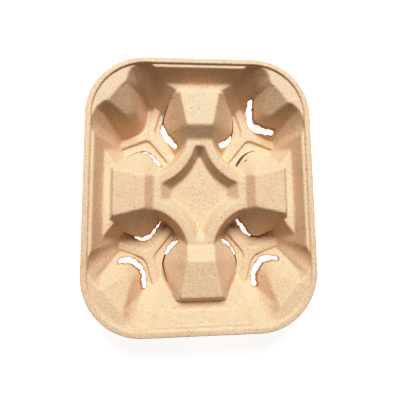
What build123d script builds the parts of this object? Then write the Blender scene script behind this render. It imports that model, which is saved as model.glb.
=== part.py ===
from build123d import *
import os

# Four-cup carrier tray, pressed in one piece from wet paper pulp (moulded fibre).
# Millimetres. Origin on the table, under the middle of the tray. +X across, +Y along, +Z up.
# Every shape is symmetric about the middle, so it is made once and mirrored.

# ---- overall sizes -------------------------------------------------------------------------
TRAY_WIDTH = 185.0           # across the rim, along X
TRAY_LENGTH = 222.0          # along Y
TRAY_HEIGHT = 44.0
CORNER_RADIUS = 48.0         # rim outline in plan
WALL = 2.0                   # thickness of the pulp, measured square to its surface

# ---- rim -----------------------------------------------------------------------------------
RIM_WIDTH = 4.6              # flat top of the rim
RIM_LIP = 5.0                # how far the outer edge turns down
RIM_STEP_DROP = 1.8          # from the rim's top down to the ledge inside it
RIM_STEP_RUN = 0.9
LEDGE_WIDTH = 2.4            # flat ledge between the rim's step and the walls
RIM_EDGE_RADIUS = 1.2

# ---- walls and floor -----------------------------------------------------------------------
END_WALL_RUN = 23.5          # how far the short ends lean in from ledge to floor
SIDE_WALL_RUN = 15.0         # the same for the long sides
RIDGE_HEIGHT = 2.6           # the Y ridges that the cups stand on, above the floor
RIDGE_WIDTH = 6.6
RIDGE_CORNER = 7.0           # inside radius between two arms of a ridge

# ---- cup pockets ---------------------------------------------------------------------------
HUB_X = 44.5                 # where the three arms of a Y ridge meet
HUB_Y = 53.5
END_ARM_X = 36.8             # where the arm towards the short end meets the wall
SIDE_ARM_Y = 43.8            # where the arm towards the long side meets the wall
CENTRE_ARM_X = 24.5          # where the arm towards the plateau meets its wall
CENTRE_ARM_Y = 29.5
SCOOP_FOOT_RADIUS = 8.6      # the leaning scoops that widen each pocket towards the rim
END_SCOOP_TOP_RADIUS = 13.9
END_SCOOP_TOP = (46.7, 17.0)    # its centre at the rim's height: from the middle, and in from the short end
SIDE_SCOOP_TOP_RADIUS = 17.9
SIDE_SCOOP_TOP = (21.8, 56.9)   # the same: in from the long side, and from the middle

# ---- plateau and its star recess -------------------------------------------------------------
PLATEAU_Z = 28.5
CUP_CENTRE_X = 48.0          # centre of the arc that a cup presses into the plateau
CUP_CENTRE_Y = 51.0
CUP_ARC_TOP = 38.0           # its radius at the plateau's top
CUP_ARC_FOOT = 31.5          # and at the floor
RECESS_DEPTH = 11.0
RECESS_ARC_TOP = 45.3        # the star's hollow sides run round the same cups
RECESS_ARC_FOOT = 51.0
RECESS_CENTRE_X = 48.5       # but their centres lie a little nearer the short centre line
RECESS_CENTRE_Y = 50.0
RECESS_TIP_X = 32.3          # how far the star's points reach
RECESS_TIP_Y = 39.7
RECESS_TIP_RUN = 8.0         # slope of the points' ends

# ---- bumps between neighbouring cups ---------------------------------------------------------
# The end bumps stand at the short ends, the side bumps at the long sides. Each has a crest near
# the plateau and falls gently towards the rim.
CREST_Z = 38.5
SHOULDER_Z = 36.4            # the outer edge of a bump's top
STEP_Z = 32.0                # the thin step round that edge
GUTTER_Z = 28.5              # the flat channel between bump and wall
STEP_WIDTH = 1.6
BACK_LEAN = 0.3              # lean of a bump's back: how far it falls outwards for each mm down
STEP_BACK_LEAN = 0.15        # the same for the back of its step
END_BUMP_SETBACK = 26.6      # from the rim's outer edge to the bump's outer edge
END_BUMP_SHOULDER = 16.7     # half widths
END_BUMP_CREST_Y = 55.4
END_BUMP_CREST = 11.0
END_BUMP_FOOT_Y = 44.8
END_BUMP_FOOT = 11.2
END_BUMP_TOE = (31.6, 62.5)  # widest point at the floor
END_BUMP_KNEE = (28.7, 53.0)
END_BUMP_HEEL = (30.0, 75.0)
SIDE_BUMP_SETBACK = 21.7
SIDE_BUMP_SHOULDER = 18.9
SIDE_BUMP_CREST_X = 45.2
SIDE_BUMP_CREST = 13.1
SIDE_BUMP_FOOT_X = 38.6
SIDE_BUMP_FOOT = 14.3
SIDE_BUMP_TOE = (52.5, 38.6)
SIDE_BUMP_KNEE = (43.6, 35.5)
SIDE_BUMP_HEEL = (65.8, 33.0)
END_GUTTER_WALL = 29.3       # half width of a gutter where it meets the wall
END_GUTTER_BUMP = 18.7       # and where it meets the bump
SIDE_GUTTER_WALL = 35.7
SIDE_GUTTER_BUMP = 26.5
GUTTER_SETBACK_END = 23.0    # rim to the gutter's inner corners
GUTTER_SETBACK_SIDE = 20.5

# ---- corner wedges ---------------------------------------------------------------------------
WEDGE_END = (32.0, 18.0)     # ends of the shelf's front edge, measured in from the rim
WEDGE_SIDE = (17.0, 36.9)
WEDGE_NOSE_Z = 24.0          # foot of the sloping front
WEDGE_NOSE_END = (55.5, 69.5)
WEDGE_NOSE_SIDE = (59.3, 64.1)
WEDGE_HEEL_END = (47.1, 79.0)    # foot of the two sides
WEDGE_HEEL_SIDE = (70.8, 49.9)
WEDGE_TOE = (70.2, 74.6, 24.0)   # round toe: centre and radius at the floor
WEDGE_TOE_TOP = (81.0, 92.7)     # and its centre at the rim's height
FILL_SET_BACK = 6.0          # how much steeper the corner behind a scoop is than the scoop

# ---- slots at the toes -----------------------------------------------------------------------
SLOT_WIDTH = 3.2             # beside the bumps
END_SLOT = ((21.5, 44.3), (28.6, 51.0), (32.8, 61.0))     # points on the arc beside an end bump
SIDE_SLOT = ((34.0, 25.2), (42.0, 34.4), (53.0, 39.6))    # and beside a side bump
CORNER_SLOT = ((47.8, 80.5), (48.2, 57.0), (66.5, 56.2))  # the bent slot round a wedge's toe
CORNER_SLOT_WIDTH = 3.8
CORNER_SLOT_RADIUS = 7.5
SLOT_TOP = 12.0              # the slots nick the toes up to this height

# ---- worked out from the sizes above -----------------------------------------------------------
HALF_W = TRAY_WIDTH / 2
HALF_L = TRAY_LENGTH / 2
LEDGE_Z = TRAY_HEIGHT - RIM_STEP_DROP
FLOOR_Z = WALL
RIDGE_Z = FLOOR_Z + RIDGE_HEIGHT
INSET = RIM_WIDTH + RIM_STEP_RUN + LEDGE_WIDTH
END_WALL_TOP = HALF_L - INSET
SIDE_WALL_TOP = HALF_W - INSET
END_WALL_FOOT = END_WALL_TOP - END_WALL_RUN
SIDE_WALL_FOOT = SIDE_WALL_TOP - SIDE_WALL_RUN
TOE_Z = RIDGE_Z + WALL       # height at which the toes' plan positions hold
CLEAR = 5.0                  # extra length on cutting solids


def facet(a, b, c, core):
    """Plane through three points, facing away from a point inside the lump."""
    a, b, c, core = Vector(a), Vector(b), Vector(c), Vector(core)
    normal = (b - a).cross(c - a).normalized()
    if normal.dot(core - a) > 0:
        normal = -normal
    return Plane(origin=a, z_dir=normal)


def flip_x(plane):
    """The same facet on the other side of the tray's long centre line."""
    o, n = plane.origin, plane.z_dir
    return Plane(origin=(-o.X, o.Y, o.Z), z_dir=(-n.X, n.Y, n.Z))


def flip_y(plane):
    """The same facet on the other side of the tray's short centre line."""
    o, n = plane.origin, plane.z_dir
    return Plane(origin=(o.X, -o.Y, o.Z), z_dir=(n.X, -n.Y, n.Z))


def level(z):
    """Flat plane at a height, facing up."""
    return Plane(origin=(0, 0, z), z_dir=(0, 0, 1))


def lump(facets, grow):
    """The space behind all the facets, each moved outwards by grow."""
    block = Pos(0, 0, TRAY_HEIGHT / 2) * Box(2 * TRAY_WIDTH, 2 * TRAY_LENGTH, 3 * TRAY_HEIGHT)
    for plane in facets:
        block = split(block, bisect_by=plane.offset(grow), keep=Keep.BOTTOM)
    return block


def cone(x, y, foot_radius, top_radius, top_z, grow):
    """Upright cone with the given radii at the floor and at top_z, thickened by grow."""
    lean = (top_radius - foot_radius) / (top_z - RIDGE_Z)
    thicker = grow * (1 + lean**2) ** 0.5
    low, high = -CLEAR, TRAY_HEIGHT + CLEAR
    radius_low = foot_radius + lean * (low - RIDGE_Z) + thicker
    radius_high = foot_radius + lean * (high - RIDGE_Z) + thicker
    return Pos(x, y, (low + high) / 2) * Cone(radius_low, radius_high, high - low)


def four_ways(solid):
    """A corner's solid and its three mirror images."""
    pair = [solid, mirror(solid, about=Plane.YZ)]
    return pair + [mirror(each, about=Plane.XZ) for each in pair]


def end_bump(grow):
    """Hexagonal bump at the +Y end with its thin step, and the gutter block behind it."""
    outer_y = HALF_L - END_BUMP_SETBACK
    core = (0, (outer_y + END_BUMP_CREST_Y) / 2, RIDGE_Z)
    shoulder = (END_BUMP_SHOULDER, outer_y, SHOULDER_Z)
    crest = (END_BUMP_CREST, END_BUMP_CREST_Y, CREST_Z)
    foot = (END_BUMP_FOOT, END_BUMP_FOOT_Y, PLATEAU_Z)
    sides = [
        facet(shoulder, crest, (*END_BUMP_TOE, TOE_Z), core),
        facet(crest, foot, (*END_BUMP_KNEE, TOE_Z), core),
        facet(shoulder, (*END_BUMP_TOE, TOE_Z), (*END_BUMP_HEEL, TOE_Z), core),
    ]
    sides += [flip_x(side) for side in sides]
    top = facet(shoulder, crest, (-END_BUMP_CREST, END_BUMP_CREST_Y, CREST_Z), core)
    front = facet(crest, foot, (-END_BUMP_FOOT, END_BUMP_FOOT_Y, PLATEAU_Z), core)
    back = Plane(origin=shoulder, z_dir=(0, 1, BACK_LEAN))
    bump = lump(sides + [top, front, back], grow)
    step_back = Plane(origin=shoulder, z_dir=(0, 1, STEP_BACK_LEAN))
    step_front = Plane(origin=shoulder, z_dir=(0, -1, 0))
    step = lump([side.offset(STEP_WIDTH) for side in sides + [step_front, step_back]]
                + [level(STEP_Z)], grow)
    gutter_corner = (END_GUTTER_BUMP, HALF_L - GUTTER_SETBACK_END, GUTTER_Z)
    share = (LEDGE_Z - GUTTER_Z) / (LEDGE_Z - RIDGE_Z)
    gutter_wall = (END_GUTTER_WALL, END_WALL_TOP - share * END_WALL_RUN, GUTTER_Z)
    gutter_side = facet(gutter_wall, gutter_corner, (*END_BUMP_HEEL, TOE_Z), (0, HALF_L, 0))
    gutter = lump([gutter_side, flip_x(gutter_side), level(GUTTER_Z)], grow)
    return bump + step + gutter


def side_bump(grow):
    """The same at the +X side."""
    outer_x = HALF_W - SIDE_BUMP_SETBACK
    core = ((outer_x + SIDE_BUMP_CREST_X) / 2, 0, RIDGE_Z)
    shoulder = (outer_x, SIDE_BUMP_SHOULDER, SHOULDER_Z)
    crest = (SIDE_BUMP_CREST_X, SIDE_BUMP_CREST, CREST_Z)
    foot = (SIDE_BUMP_FOOT_X, SIDE_BUMP_FOOT, PLATEAU_Z)
    sides = [
        facet(shoulder, crest, (*SIDE_BUMP_TOE, TOE_Z), core),
        facet(crest, foot, (*SIDE_BUMP_KNEE, TOE_Z), core),
        facet(shoulder, (*SIDE_BUMP_TOE, TOE_Z), (*SIDE_BUMP_HEEL, TOE_Z), core),
    ]
    sides += [flip_y(side) for side in sides]
    top = facet(shoulder, crest, (SIDE_BUMP_CREST_X, -SIDE_BUMP_CREST, CREST_Z), core)
    front = facet(crest, foot, (SIDE_BUMP_FOOT_X, -SIDE_BUMP_FOOT, PLATEAU_Z), core)
    back = Plane(origin=shoulder, z_dir=(1, 0, BACK_LEAN))
    bump = lump(sides + [top, front, back], grow)
    step_back = Plane(origin=shoulder, z_dir=(1, 0, STEP_BACK_LEAN))
    step_front = Plane(origin=shoulder, z_dir=(-1, 0, 0))
    step = lump([side.offset(STEP_WIDTH) for side in sides + [step_front, step_back]]
                + [level(STEP_Z)], grow)
    gutter_corner = (HALF_W - GUTTER_SETBACK_SIDE, SIDE_GUTTER_BUMP, GUTTER_Z)
    share = (LEDGE_Z - GUTTER_Z) / (LEDGE_Z - RIDGE_Z)
    gutter_wall = (SIDE_WALL_TOP - share * SIDE_WALL_RUN, SIDE_GUTTER_WALL, GUTTER_Z)
    gutter_side = facet(gutter_wall, gutter_corner, (*SIDE_BUMP_HEEL, TOE_Z), (HALF_W, 0, 0))
    gutter = lump([gutter_side, flip_y(gutter_side), level(GUTTER_Z)], grow)
    return bump + step + gutter


def leaning_round(foot, top, foot_radius, top_radius):
    """Round solid from a circle at the ridge's height to another at the rim's height."""
    low = Pos(*foot, RIDGE_Z) * Circle(foot_radius)
    return loft([low, Pos(*top, TRAY_HEIGHT) * Circle(top_radius)])


def scoop_ends(name):
    """Foot and top centre and top radius of the end or side scoop of the +X +Y pocket."""
    if name == "end":
        foot = (END_ARM_X, END_WALL_FOOT - SCOOP_FOOT_RADIUS)
        return foot, (END_SCOOP_TOP[0], HALF_L - END_SCOOP_TOP[1]), END_SCOOP_TOP_RADIUS
    foot = (SIDE_WALL_FOOT - SCOOP_FOOT_RADIUS, SIDE_ARM_Y)
    return foot, (HALF_W - SIDE_SCOOP_TOP[0], SIDE_SCOOP_TOP[1]), SIDE_SCOOP_TOP_RADIUS


def scoops(grow):
    """Two leaning scoops of the +X +Y pocket, towards the short end and the long side."""
    both = []
    for name in ("end", "side"):
        foot, top, top_radius = scoop_ends(name)
        both.append(leaning_round(foot, top, SCOOP_FOOT_RADIUS + grow, top_radius + grow))
    return both


def corner_fill(name, grow):
    """Block behind a steep plane that touches a scoop at the rim, on its side towards the corner."""
    foot, top, top_radius = scoop_ends(name)
    aside_foot = SCOOP_FOOT_RADIUS * 0.5**0.5 + FILL_SET_BACK
    aside_top = top_radius * 0.5**0.5
    low = (foot[0] + aside_foot, foot[1] + aside_foot, RIDGE_Z)
    high = (top[0] + aside_top, top[1] + aside_top, TRAY_HEIGHT)
    along = (high[0] - 1, high[1] + 1, high[2])
    return lump([level(LEDGE_Z), facet(low, high, along, (HALF_W, HALF_L, 0))], grow)


def wedge(grow):
    """Corner wedge of the +X +Y pocket: a flat shelf, a sloping front and two steep sides on a round toe,
    with the corners beside it filled up to the scoops."""
    core = (HALF_W, HALF_L, 0)
    end = (HALF_W - WEDGE_END[0], HALF_L - WEDGE_END[1], LEDGE_Z)
    side = (HALF_W - WEDGE_SIDE[0], HALF_L - WEDGE_SIDE[1], LEDGE_Z)
    nose_end, nose_side = (*WEDGE_NOSE_END, WEDGE_NOSE_Z), (*WEDGE_NOSE_SIDE, WEDGE_NOSE_Z)
    block = lump([
        level(LEDGE_Z),
        facet(end, side, nose_side, core),
        facet(end, nose_end, (*WEDGE_HEEL_END, RIDGE_Z), core),
        facet(side, nose_side, (*WEDGE_HEEL_SIDE, RIDGE_Z), core),
    ], grow)
    *toe, radius = WEDGE_TOE
    toe_lean = (Vector(*WEDGE_TOE_TOP) - Vector(*toe)) / (TRAY_HEIGHT - RIDGE_Z)
    low = Vector(*toe) - toe_lean * (RIDGE_Z + CLEAR)
    high = Vector(*WEDGE_TOE_TOP) + toe_lean * CLEAR
    circle = Circle(radius + grow)
    block &= loft([Pos(low.X, low.Y, -CLEAR) * circle, Pos(high.X, high.Y, TRAY_HEIGHT + CLEAR) * circle])
    block += [corner_fill("end", grow), corner_fill("side", grow)]
    return block - scoops(-grow)


def star_recess(grow):
    """Four-pointed hollow in the plateau, its sides bending round the four cups."""
    floor_z = PLATEAU_Z - RECESS_DEPTH
    slope = RECESS_TIP_RUN / RECESS_DEPTH
    planes = [Plane(origin=(0, 0, floor_z), z_dir=(0, 0, -1))]
    for sign in (-1, 1):
        planes.append(Plane(origin=(sign * RECESS_TIP_X, 0, PLATEAU_Z), z_dir=(sign, 0, -slope)))
        planes.append(Plane(origin=(0, sign * RECESS_TIP_Y, PLATEAU_Z), z_dir=(0, sign, -slope)))
    star = lump(planes, grow)
    # between the floor and the plateau the arcs shrink from foot to top radius
    lean = (RECESS_ARC_TOP - RECESS_ARC_FOOT) / RECESS_DEPTH
    foot_radius = RECESS_ARC_FOOT + lean * (RIDGE_Z - floor_z)
    cups = cone(RECESS_CENTRE_X, RECESS_CENTRE_Y, foot_radius, RECESS_ARC_TOP, PLATEAU_Z, -grow)
    return star - four_ways(cups)


def plateau(grow):
    """Raised middle with four hollow sides, one for each cup, and the star recess in its top."""
    block = lump([
        level(PLATEAU_Z),
        Plane(origin=(SIDE_BUMP_CREST_X, 0, 0), z_dir=(1, 0, 0)),
        Plane(origin=(-SIDE_BUMP_CREST_X, 0, 0), z_dir=(-1, 0, 0)),
        Plane(origin=(0, END_BUMP_CREST_Y, 0), z_dir=(0, 1, 0)),
        Plane(origin=(0, -END_BUMP_CREST_Y, 0), z_dir=(0, -1, 0)),
    ], grow)
    cup = cone(CUP_CENTRE_X, CUP_CENTRE_Y, CUP_ARC_FOOT, CUP_ARC_TOP, PLATEAU_Z, -grow)
    return block - four_ways(cup) - star_recess(-grow)


def arm(x, y, width):
    """Flat strip from the hub of the +X +Y pocket to past the point (x, y)."""
    along = Vector(x - HUB_X, y - HUB_Y)
    length = along.length + CLEAR
    angle = Vector(1, 0).get_signed_angle(along, Vector(0, 0, 1))
    strip = Pos(length / 2, 0) * Rectangle(length, width)
    return Pos(HUB_X, HUB_Y) * Rot(0, 0, angle) * strip


def ridge(grow):
    """Y-shaped ridge in the floor of the +X +Y pocket."""
    width = RIDGE_WIDTH + 2 * grow
    arms = arm(END_ARM_X, END_WALL_FOOT, width) + arm(SIDE_WALL_FOOT, SIDE_ARM_Y, width)
    plan = arms + arm(CENTRE_ARM_X, CENTRE_ARM_Y, width)
    inside = plan.vertices().sort_by_distance((HUB_X, HUB_Y, 0))[:3]
    plan = fillet(inside, RIDGE_CORNER - grow)
    low = -CLEAR
    return Pos(0, 0, low) * extrude(plan, RIDGE_Z + grow - low)


def basin(grow):
    """Straight-walled hollow that all four pockets share, before the lumps stand in it."""
    end = facet((0, END_WALL_TOP, LEDGE_Z), (1, END_WALL_TOP, LEDGE_Z),
                (0, END_WALL_FOOT, RIDGE_Z), (0, 0, RIDGE_Z))
    side = facet((SIDE_WALL_TOP, 0, LEDGE_Z), (SIDE_WALL_TOP, 1, LEDGE_Z),
                 (SIDE_WALL_FOOT, 0, RIDGE_Z), (0, 0, RIDGE_Z))
    floor = Plane(origin=(0, 0, FLOOR_Z), z_dir=(0, 0, -1))
    return lump([end, flip_y(end), side, flip_x(side), floor], grow)


def outline(inset):
    """Rim outline in plan, moved in by inset."""
    return RectangleRounded(TRAY_WIDTH - 2 * inset, TRAY_LENGTH - 2 * inset, CORNER_RADIUS - inset)


def rim_well(grow, top_z):
    """Shallow tray inside the rim, with the ledge and the corner shelves as its floor."""
    low_z = LEDGE_Z - grow
    slope = RIM_STEP_RUN / RIM_STEP_DROP
    low_inset = RIM_WIDTH + RIM_STEP_RUN - grow
    top_inset = low_inset - slope * (top_z - low_z)
    return loft([Pos(0, 0, low_z) * outline(low_inset), Pos(0, 0, top_z) * outline(top_inset)])


def air(grow, top_z):
    """All the space above a skin that lies grow below the tray's upper surface."""
    pockets = basin(grow)
    for scoop in scoops(grow):
        pockets += four_ways(scoop)
    within_rim = extrude(outline(RIM_WIDTH + RIM_STEP_RUN - grow), LEDGE_Z + RIM_STEP_DROP / 2)
    pockets &= Pos(0, 0, -grow) * within_rim
    ends = end_bump(-grow)
    sides = side_bump(-grow)
    pockets -= [ends, mirror(ends, about=Plane.XZ), sides, mirror(sides, about=Plane.YZ)]
    pockets -= four_ways(wedge(-grow))
    pockets -= [plateau(-grow)] + four_ways(ridge(-grow))
    return pockets + rim_well(grow, top_z)


def slots():
    """Through cuts at the toes of all four pockets, which let them flex against a cup.
    The -X +Y pocket has no slot round its wedge."""
    end = SlotArc(ThreePointArc(*END_SLOT), SLOT_WIDTH)
    side = SlotArc(ThreePointArc(*SIDE_SLOT), SLOT_WIDTH)
    corner = trace(FilletPolyline(*CORNER_SLOT, radius=CORNER_SLOT_RADIUS), CORNER_SLOT_WIDTH)
    height = SLOT_TOP + CLEAR
    end, side, corner = [Pos(0, 0, -CLEAR) * extrude(plan, height) for plan in (end, side, corner)]
    plus_plus, _, plus_minus, minus_minus = four_ways(corner)
    return four_ways(end) + four_ways(side) + [plus_plus, plus_minus, minus_minus]


def carrier_tray():
    """The whole tray: a skin one wall thick under the pockets, with the turned-down lip round it."""
    rim = extrude(outline(0), -WALL)
    lip = extrude(outline(0) - outline(WALL), -RIM_LIP)
    skin = air(WALL, TRAY_HEIGHT) + Pos(0, 0, TRAY_HEIGHT) * (rim + lip)
    skin -= air(0, TRAY_HEIGHT + WALL)
    skin -= slots()
    rim_top = skin.faces().sort_by(Axis.Z)[-1]
    return fillet(rim_top.outer_wire().edges(), RIM_EDGE_RADIUS)


os.makedirs("parts", exist_ok=True)
tray = carrier_tray()
print("solids", len(tray.solids()), "volume", round(tray.volume))
export_step(tray, "parts/carrier_tray.step")
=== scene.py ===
import math

import bpy
import numpy as np
from mathutils import Euler, Matrix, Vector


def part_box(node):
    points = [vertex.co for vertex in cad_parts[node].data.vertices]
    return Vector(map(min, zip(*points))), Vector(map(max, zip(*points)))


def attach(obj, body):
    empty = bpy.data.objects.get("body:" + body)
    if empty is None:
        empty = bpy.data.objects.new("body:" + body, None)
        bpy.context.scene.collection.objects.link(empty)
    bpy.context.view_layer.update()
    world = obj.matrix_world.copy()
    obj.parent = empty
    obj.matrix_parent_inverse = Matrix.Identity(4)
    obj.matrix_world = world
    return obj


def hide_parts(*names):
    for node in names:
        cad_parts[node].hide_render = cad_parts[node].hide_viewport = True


bl_info = {
    "name": "Cup carrier tray",
    "version": (1, 0, 0),
    "blender": (4, 5, 0),
    "location": "3D View > Sidebar > Cup carrier",
    "description": "Builds a moulded pulp carrier for four cups, with its material and a small studio",
    "category": "Add Mesh",
}

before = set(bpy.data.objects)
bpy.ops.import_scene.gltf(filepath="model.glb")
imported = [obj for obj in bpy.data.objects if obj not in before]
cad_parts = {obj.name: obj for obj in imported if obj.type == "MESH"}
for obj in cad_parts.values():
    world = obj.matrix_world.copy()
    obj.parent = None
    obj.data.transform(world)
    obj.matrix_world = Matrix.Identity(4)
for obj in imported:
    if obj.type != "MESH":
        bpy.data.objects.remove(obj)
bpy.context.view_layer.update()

NODE = "carrier_tray"
MM = 0.001
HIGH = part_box(NODE)[1]

# The shape is worked out in millimetres. Every size below is in millimetres too.
HALF_W = HIGH.x / MM
HALF_L = HIGH.y / MM
TRAY_HEIGHT = HIGH.z / MM
CORNER_RADIUS = 48.0

# ---- rim: flat top, a step down, then a narrow ledge inside it ----
RIM_WIDTH = 4.6
RIM_LIP = 5.0
RIM_STEP_DROP = 1.8
RIM_STEP_RUN = 0.9
LEDGE_WIDTH = 2.4
RIM_EDGE_RADIUS = 1.2
LEDGE_Z = TRAY_HEIGHT - RIM_STEP_DROP

# ---- walls and scoops ----
END_WALL_TOP = HALF_L - RIM_WIDTH - RIM_STEP_RUN - LEDGE_WIDTH
SIDE_WALL_TOP = HALF_W - RIM_WIDTH - RIM_STEP_RUN - LEDGE_WIDTH
END_WALL_RUN = 23.5
SIDE_WALL_RUN = 15.0
END_WALL_FOOT = END_WALL_TOP - END_WALL_RUN
SIDE_WALL_FOOT = SIDE_WALL_TOP - SIDE_WALL_RUN
SCOOP_FOOT_RADIUS = 8.6
END_SCOOP = {
    "top": (46.7, HALF_L - 17.0, 13.9),
    "foot": (36.8, END_WALL_FOOT - SCOOP_FOOT_RADIUS, SCOOP_FOOT_RADIUS),
}
SIDE_SCOOP = {
    "top": (HALF_W - 21.8, 56.9, 17.9),
    "foot": (SIDE_WALL_FOOT - SCOOP_FOOT_RADIUS, 43.8, SCOOP_FOOT_RADIUS),
}

# ---- corner wedges: chord of the shelf, nose of the sloping front, and the round toe below it ----
WEDGE_END = (HALF_W - 32.0, HALF_L - 18.0)
WEDGE_SIDE = (HALF_W - 17.0, HALF_L - 36.9)
WEDGE_NOSE_Z = 24.0
WEDGE_NOSE_END = (55.5, 69.5)
WEDGE_NOSE_SIDE = (59.3, 64.1)
WEDGE_HEEL_Z = 5.0
WEDGE_HEEL_END = (47.1, 79.0)
WEDGE_HEEL_SIDE = (70.8, 49.9)
WEDGE_TOE = {"top": (81.0, 92.7, 24.3), "foot": (70.2, 74.6, 24.0)}
FILL_SET_BACK = 6.0

# ---- heights ----
PLATEAU_Z = 28.5
RECESS_FLOOR_Z = 17.5
CREST_Z = 38.5
SHOULDER_Z = 36.4
STEP_Z = 32.0
STEP_WIDTH = 1.6
STEP_SIDE_WIDTH = 0.4
BACK_LEAN = 0.3
STEP_BACK_LEAN = 0.15
GUTTER_Z = 28.5

# ---- bumps between neighbouring cups: the corners of one half of each, and of the gutter behind it ----
# Shoulder, crest and foot are corners of the top and front, and toe, knee and heel go round the bottom.
TOE_RISE = 2.0    # height above the ridges at which the toes, knees and heels are given
END_BUMP_SHOULDER = (16.7, HALF_L - 26.6, SHOULDER_Z)
END_BUMP_CREST = (11.0, 55.4, CREST_Z)
END_BUMP_FOOT = (11.2, 44.8, PLATEAU_Z)
END_BUMP_TOE = (31.6, 62.5)
END_BUMP_KNEE = (28.7, 53.0)
END_BUMP_HEEL = (30.0, 75.0)
END_GUTTER_WALL = 29.3
END_GUTTER_BUMP = (18.7, HALF_L - 23.0, GUTTER_Z)
SIDE_BUMP_SHOULDER = (HALF_W - 21.7, 18.9, SHOULDER_Z)
SIDE_BUMP_CREST = (45.2, 13.1, CREST_Z)
SIDE_BUMP_FOOT = (38.6, 14.3, PLATEAU_Z)
SIDE_BUMP_TOE = (52.5, 38.6)
SIDE_BUMP_KNEE = (43.6, 35.5)
SIDE_BUMP_HEEL = (65.8, 33.0)
SIDE_GUTTER_WALL = 35.7
SIDE_GUTTER_BUMP = (HALF_W - 20.5, 26.5, GUTTER_Z)

# ---- plateau and its star recess, both hollowed by the circles of the four cups ----
PLATEAU_REACH = (45.2, 55.4)
CUP_CENTRE = (48.0, 51.0)
CUP_ARC_TOP = 38.0
CUP_ARC_FOOT = 31.5
RECESS_CENTRE = (48.5, 50.0)
RECESS_ARC_TOP = 45.3
RECESS_ARC_FOOT = 51.0
RECESS_TIPS = (32.3, 39.7)
RECESS_TIP_RUN = 8.0

# ---- the Y ridge in the floor of each pocket ----
HUB = (44.5, 53.5)
ARM_ENDS = ((36.8, END_WALL_FOOT), (SIDE_WALL_FOOT, 43.8), (24.5, 29.5))
RIDGE_CORNER = 3.5
RIDGE_LEAN = 0.35

# ---- how wide the rounding is where two faces meet, apart from the softness that a user sets ----
WALL_ROUND = 1.0
STEP_ROUND = 0.4
STEP_TOP_ROUND = 0.5
THIN_ROUND = 0.6
RIM_ROUND = 0.6
WELL_ROUND = 0.7
RIDGE_ROUND = 0.7
FILL_ROUND = 0.8
WEDGE_ROUND = 1.1
TOE_ROUND = 1.4
SCOOP_ROUND = 1.6
RECESS_ROUND = 2.0
TIP_ROUND = 1.0


class TraySizes(bpy.types.PropertyGroup):
    """Sizes of the moulding that a user may want to change."""

    wall: bpy.props.FloatProperty(
        name="Wall", description="Thickness of the pulp", default=0.002, min=0.001, max=0.003, unit="LENGTH")
    ridge_height: bpy.props.FloatProperty(
        name="Ridge height", description="Height of the Y ridges above the pocket floor",
        default=0.0026, min=0.001, max=0.004, unit="LENGTH")
    ridge_width: bpy.props.FloatProperty(
        name="Ridge width", description="Width of the flat top of the Y ridges",
        default=0.0060, min=0.003, max=0.009, unit="LENGTH")
    edge_softness: bpy.props.FloatProperty(
        name="Edge softness", description="How far the moulded edges are rounded",
        default=0.0011, min=0.0005, max=0.004, unit="LENGTH")
    foot_softness: bpy.props.FloatProperty(
        name="Foot softness", description="How far the hollow corners at the foot of each shape are rounded",
        default=0.0014, min=0.0005, max=0.005, unit="LENGTH")
    mesh_step: bpy.props.FloatProperty(
        name="Mesh step", description="Spacing of the surface grid in plan",
        default=0.0008, min=0.0006, max=0.003, unit="LENGTH")
    triangles: bpy.props.IntProperty(
        name="Triangles", description="Most triangles that are kept after flat areas are thinned out",
        default=190000, min=20000)
    unevenness: bpy.props.FloatProperty(
        name="Unevenness", description="How far the pulp wanders from its mould",
        default=0.00012, min=0.0, max=0.0006, unit="LENGTH")
    tear: bpy.props.FloatProperty(
        name="Tear", description="How ragged the edges of the slots are",
        default=0.0006, min=0.0, max=0.0015, unit="LENGTH")


class PulpFinish(bpy.types.PropertyGroup):
    """Colours and texture of the moulded pulp."""

    base: bpy.props.StringProperty(
        name="Pulp colour", description="Main colour of the dry pulp, as an sRGB hex value", default="E0C3A3")
    pale: bpy.props.StringProperty(
        name="Pale fibre", description="Colour of the pale fibres", default="EED8BF")
    dark: bpy.props.StringProperty(
        name="Dark fibre", description="Colour of the darker fibres", default="C9A07B")
    fleck: bpy.props.StringProperty(
        name="Fleck", description="Colour of the few dark specks of bark and ink", default="6E4A2C")
    torn: bpy.props.StringProperty(
        name="Torn edge", description="Colour of the torn edges of the slots", default="8A5F34")
    # Painted shade: this dark colour stands in for the shade down in the closed cracks, whose geometry is
    # only a shallow crease.
    crack_shade: bpy.props.StringProperty(
        name="Crack", description="Colour down in the closed cracks", default="2E2B33")
    fibre_size: bpy.props.FloatProperty(
        name="Fibre size", description="Size of the clumps of fibre",
        default=0.0012, min=0.0002, unit="LENGTH")
    relief: bpy.props.FloatProperty(
        name="Relief", description="Depth of the felted surface",
        default=0.0006, min=0.0, unit="LENGTH")
    roughness: bpy.props.FloatProperty(
        name="Roughness", description="Roughness of the dry pulp",
        default=0.6, min=0.0, max=1.0, subtype="FACTOR")


class StudioLook(bpy.types.PropertyGroup):
    """Floor, lights and camera."""

    floor: bpy.props.StringProperty(
        name="Floor colour", description="Colour of the pale floor, as an sRGB hex value", default="FAFAF9")
    glow: bpy.props.FloatProperty(
        name="Floor glow", description="How brightly the floor is lit from below, as a light table is",
        default=0.9, min=0.0, max=3.0)
    key: bpy.props.FloatProperty(
        name="Key light", description="Power of the large soft light",
        default=69.0, min=0.0, subtype="POWER")
    fill: bpy.props.FloatProperty(
        name="Fill", description="Strength of the light from all round", default=0.09, min=0.0)
    lens: bpy.props.FloatProperty(
        name="Lens", description="Focal length of the camera, in millimetres", default=33.75, min=10.0)


# ================================ shape of the pulp skin ================================


def soft_max(a, b, k):
    """The larger of a and b, rounded where they differ by less than k.
    There (k - |a - b|)^2 / 4k is added to the larger."""
    near = np.maximum(k - np.abs(a - b), 0.0)
    return np.maximum(a, b) + near * near / (4.0 * k)


def soft_min(a, b, k):
    """The smaller of a and b, rounded in the same way."""
    return -soft_max(-a, -b, k)


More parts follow.
